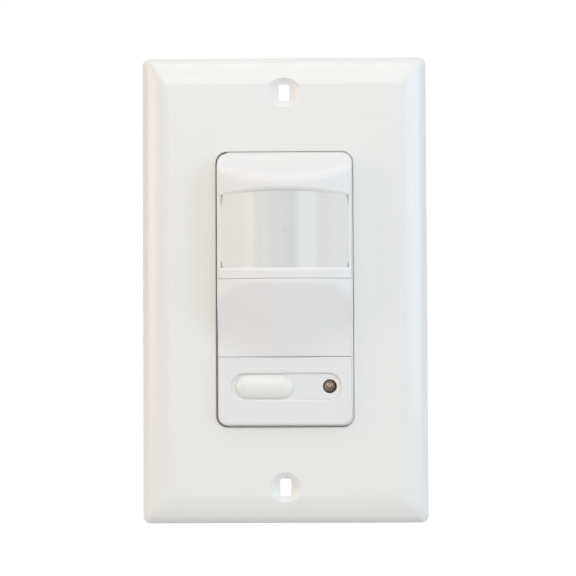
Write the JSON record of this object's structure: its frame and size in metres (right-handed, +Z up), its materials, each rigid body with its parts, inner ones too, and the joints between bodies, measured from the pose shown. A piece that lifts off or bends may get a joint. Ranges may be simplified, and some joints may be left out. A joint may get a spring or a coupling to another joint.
{
  "type": "motion sensor light switch",
  "caption": "White wall-switch occupancy sensor with a curved infrared lens, on/off button, light sensor and pull-off trim cover, in a bevelled one-gang wall plate.",
  "frame": {"origin": "middle between the two box screw holes, on the wall plane where the strap lies against the wall", "axes": "+Z up, +Y into the wall, so the front faces -Y; +X to the right as seen from the front"},
  "size_m": [0.0698, 0.044, 0.1142],
  "materials": {
    "plate_plastic": "glossy white moulded wall plate",
    "cover_plastic": "satin white moulded cover",
    "button_plastic": "satin cream moulded button",
    "lens_plastic": "milky polyethylene lens sheet",
    "zinc_steel": "zinc-plated stamped steel",
    "housing_plastic": "fine-textured dark grey housing",
    "dark_plastic": "matt black moulded plastic",
    "white_plastic": "matt white moulded plastic",
    "red_plastic": "matt red moulded plastic",
    "blue_plastic": "matt blue moulded plastic",
    "relay_plastic": "glossy blue relay case",
    "yellow_plastic": "glossy yellow capacitor box",
    "sleeved_can": "dark blue shrink sleeve",
    "blue_coating": "blue dipped coating",
    "fuse_body": "tan lacquered body",
    "fibre_sheet": "grey insulating fibre sheet",
    "circuit_board": "green solder-masked board",
    "red_lens": "clear red moulded lamp",
    "light_cell": "brown-grey sensor with beige track",
    "sensor_can": "nickel-plated steel can",
    "filter_window": "dark infrared filter, mirror-like",
    "screw_steel": "zinc-plated steel screw",
    "brass": "bare brass",
    "green_screw": "green-coated steel ground screw"
  },
  "bodies": {
    "base": {"wall_plate": "plate_plastic", "mounting_strap": "zinc_steel", "front_cover": "cover_plastic", "fresnel_lens": "lens_plastic", "lens_chamber": "dark_plastic", "pir_sensor": "sensor_can", "pir_window": "filter_window", "pir_collar": "white_plastic", "motion_led": "red_lens", "control_board": "circuit_board", "light_sensor": "light_cell", "light_sensor_sleeve": "dark_plastic", "tact_switch_body": "dark_plastic", "dip_switch_body": "red_plastic", "trimmer_bodies": "blue_plastic", "control_chip": "dark_plastic", "board_header": "dark_plastic", "header_pins": "brass", "power_board": "circuit_board", "relay": "relay_plastic", "film_capacitor": "yellow_plastic", "storage_capacitor": "sleeved_can", "varistor": "blue_coating", "line_fuse": "fuse_body", "insulating_sheet": "fibre_sheet", "rear_housing": "housing_plastic", "housing_screws": "screw_steel", "terminal_plates": "brass", "terminal_screws": "brass", "ground_screw": "green_screw"},
    "push_button": {"push_button": "button_plastic"},
    "tact_plunger": {"tact_plunger": "dark_plastic"},
    "trim_cover": {"trim_cover": "cover_plastic"},
    "time_rotor": {"time_rotor": "white_plastic"},
    "light_level_rotor": {"light_level_rotor": "white_plastic"},
    "dip_lever_1": {"dip_lever_1": "white_plastic"},
    "dip_lever_2": {"dip_lever_2": "white_plastic"},
    "dip_lever_3": {"dip_lever_3": "white_plastic"},
    "dip_lever_4": {"dip_lever_4": "white_plastic"}
  },
  "joints": [
    {"name": "button_press", "type": "slide", "parent": "base", "child": "push_button", "axis": [0, 1, 0], "range_m": [0, 0.0005], "stiffness_N_per_m": 3000},
    {"name": "plunger_press", "type": "slide", "parent": "base", "child": "tact_plunger", "axis": [0, 1, 0], "range_m": [0, 0.0005]},
    {"name": "trim_pull", "type": "slide", "parent": "base", "child": "trim_cover", "axis": [0, -1, 0], "range_m": [0, 0.03]},
    {"name": "time_turn", "type": "hinge", "parent": "base", "child": "time_rotor", "pos_m": [0.0045, -0.0034, -0.0075], "axis": [0, -1, 0], "range_deg": [-135, 135]},
    {"name": "light_level_turn", "type": "hinge", "parent": "base", "child": "light_level_rotor", "pos_m": [0.0104, -0.0034, -0.0075], "axis": [0, -1, 0], "range_deg": [-135, 135]},
    {"name": "option_1_slide", "type": "slide", "parent": "base", "child": "dip_lever_1", "axis": [0, 0, 1], "range_m": [0, 0.0012]},
    {"name": "option_2_slide", "type": "slide", "parent": "base", "child": "dip_lever_2", "axis": [0, 0, 1], "range_m": [0, 0.0012]},
    {"name": "option_3_slide", "type": "slide", "parent": "base", "child": "dip_lever_3", "axis": [0, 0, 1], "range_m": [0, 0.0012]},
    {"name": "option_4_slide", "type": "slide", "parent": "base", "child": "dip_lever_4", "axis": [0, 0, 1], "range_m": [0, 0.0012]}
  ],
  "couplings": [
    {"joint": "plunger_press", "follows": "button_press", "ratio": 1}
  ]
}
